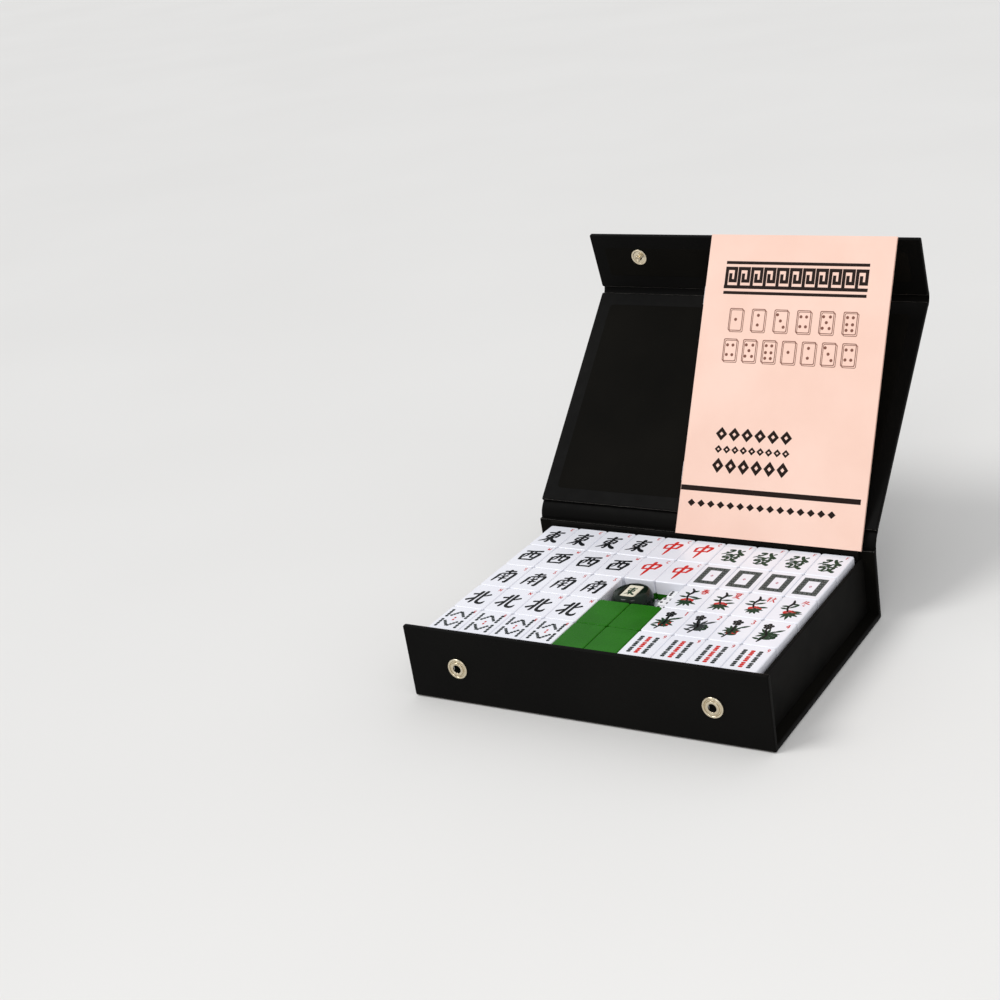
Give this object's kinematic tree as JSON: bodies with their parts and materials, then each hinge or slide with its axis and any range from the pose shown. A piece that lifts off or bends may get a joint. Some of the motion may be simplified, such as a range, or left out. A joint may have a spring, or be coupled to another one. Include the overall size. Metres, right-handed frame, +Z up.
{
  "type": "mahjong case",
  "caption": "Open book-style leatherette case for a travel mahjong set, with a bent snap flap, a full tile tray, a direction marker, dice and a standing booklet.",
  "frame": {"origin": "middle of the case's footprint, on the surface that it stands on", "axes": "+X along the lid's hinge to the right seen from the front, +Y from the front board to the spine, +Z up"},
  "size_m": [0.2286, 0.275, 0.2071],
  "materials": {
    "leatherette": "fine grained, semi-matt",
    "lining": "matt",
    "grey_board": "raw pressed board",
    "tray_card": "black paper-covered card",
    "snap_metal": "nickel plated",
    "tile": "polished, white face on a green back",
    "marker_black": "polished",
    "marker_face": "polished",
    "steel": "plain drawn wire",
    "dice": "polished",
    "booklet_paper": "printed paper, matt",
    "leaf_paper": "paper, matt"
  },
  "bodies": {
    "case": {"bottom_board": "grey_board", "front_board": "grey_board", "spine_board": "grey_board", "cover_wrap": "leatherette", "cover_lining": "lining", "tray_floor": "tray_card", "tray_front_wall": "tray_card", "tray_back_wall": "tray_card", "tray_left_wall": "tray_card", "tray_right_wall": "tray_card", "lid_crease": "leatherette", "snap_sockets": "snap_metal", "snap_springs": "snap_metal", "socket_rivets": "snap_metal"},
    "lid": {"lid_board": "grey_board", "lid_wrap": "leatherette", "lid_lining": "lining", "flap_crease": "leatherette"},
    "flap": {"flap_board": "grey_board", "flap_wrap": "leatherette", "flap_lining": "lining", "snap_studs": "snap_metal", "stud_rivets": "snap_metal"},
    "bottom_tiles": {"bottom_row_tiles": "tile"},
    "middle_tiles": {"middle_row_tiles": "tile"},
    "top_tiles": {"east_wind_tiles": "tile", "west_wind_tiles": "tile", "south_wind_tiles": "tile", "north_wind_tiles": "tile", "bamboo_eight_tiles": "tile", "red_dragon_tiles": "tile", "face_down_tiles": "tile", "green_dragon_tiles": "tile", "white_dragon_tiles": "tile", "season_tiles": "tile", "plant_tiles": "tile", "bamboo_nine_tiles": "tile"},
    "marker": {"marker_body": "marker_black", "marker_axle": "steel"},
    "roller": {"marker_roller": "marker_face"},
    "die_1": {"die_1": "dice"},
    "die_2": {"die_2": "dice"},
    "die_3": {"die_3": "dice"},
    "booklet": {"booklet_cover": "booklet_paper", "booklet_leaves": "leaf_paper", "booklet_staples": "steel"}
  },
  "joints": [
    {"name": "lid_hinge", "type": "hinge", "parent": "case", "child": "lid", "pos_m": [0, 0.07795, 0.0491], "axis": [-1, 0, 0], "range_deg": [-136.6, 0]},
    {"name": "flap_fold", "type": "hinge", "parent": "lid", "child": "flap", "pos_m": [0, 0.195, 0.15979], "axis": [-1, 0, 0], "range_deg": [-31.5, 58.5]},
    {"name": "bottom_tiles_lift", "type": "slide", "parent": "case", "child": "bottom_tiles", "axis": [0, 0, 1], "range_m": [0, 0.05]},
    {"name": "middle_tiles_lift", "type": "slide", "parent": "bottom_tiles", "child": "middle_tiles", "axis": [0, 0, 1], "range_m": [0, 0.04]},
    {"name": "top_tiles_lift", "type": "slide", "parent": "middle_tiles", "child": "top_tiles", "axis": [0, 0, 1], "range_m": [0, 0.04]},
    {"name": "marker_lift", "type": "slide", "parent": "middle_tiles", "child": "marker", "axis": [0, 0, 1], "range_m": [0, 0.03]},
    {"name": "marker_roll", "type": "hinge", "parent": "marker", "child": "roller", "pos_m": [-0.0073, 0, 0.0365], "axis": [0, 1, 0], "continuous": true},
    {"name": "die_1_lift", "type": "slide", "parent": "middle_tiles", "child": "die_1", "axis": [0, 0, 1], "range_m": [0, 0.03]},
    {"name": "die_2_lift", "type": "slide", "parent": "middle_tiles", "child": "die_2", "axis": [0, 0, 1], "range_m": [0, 0.03]},
    {"name": "die_3_lift", "type": "slide", "parent": "middle_tiles", "child": "die_3", "axis": [0, 0, 1], "range_m": [0, 0.03]},
    {"name": "booklet_turn", "type": "hinge", "parent": "case", "child": "booklet", "pos_m": [0, -0.00909, -0.03185], "axis": [-1, 0, 0], "range_deg": [-120.02, 0.02]}
  ],
  "couplings": [
    {"joint": "booklet_turn", "follows": "lid_hinge", "ratio": 0.8784}
  ]
}
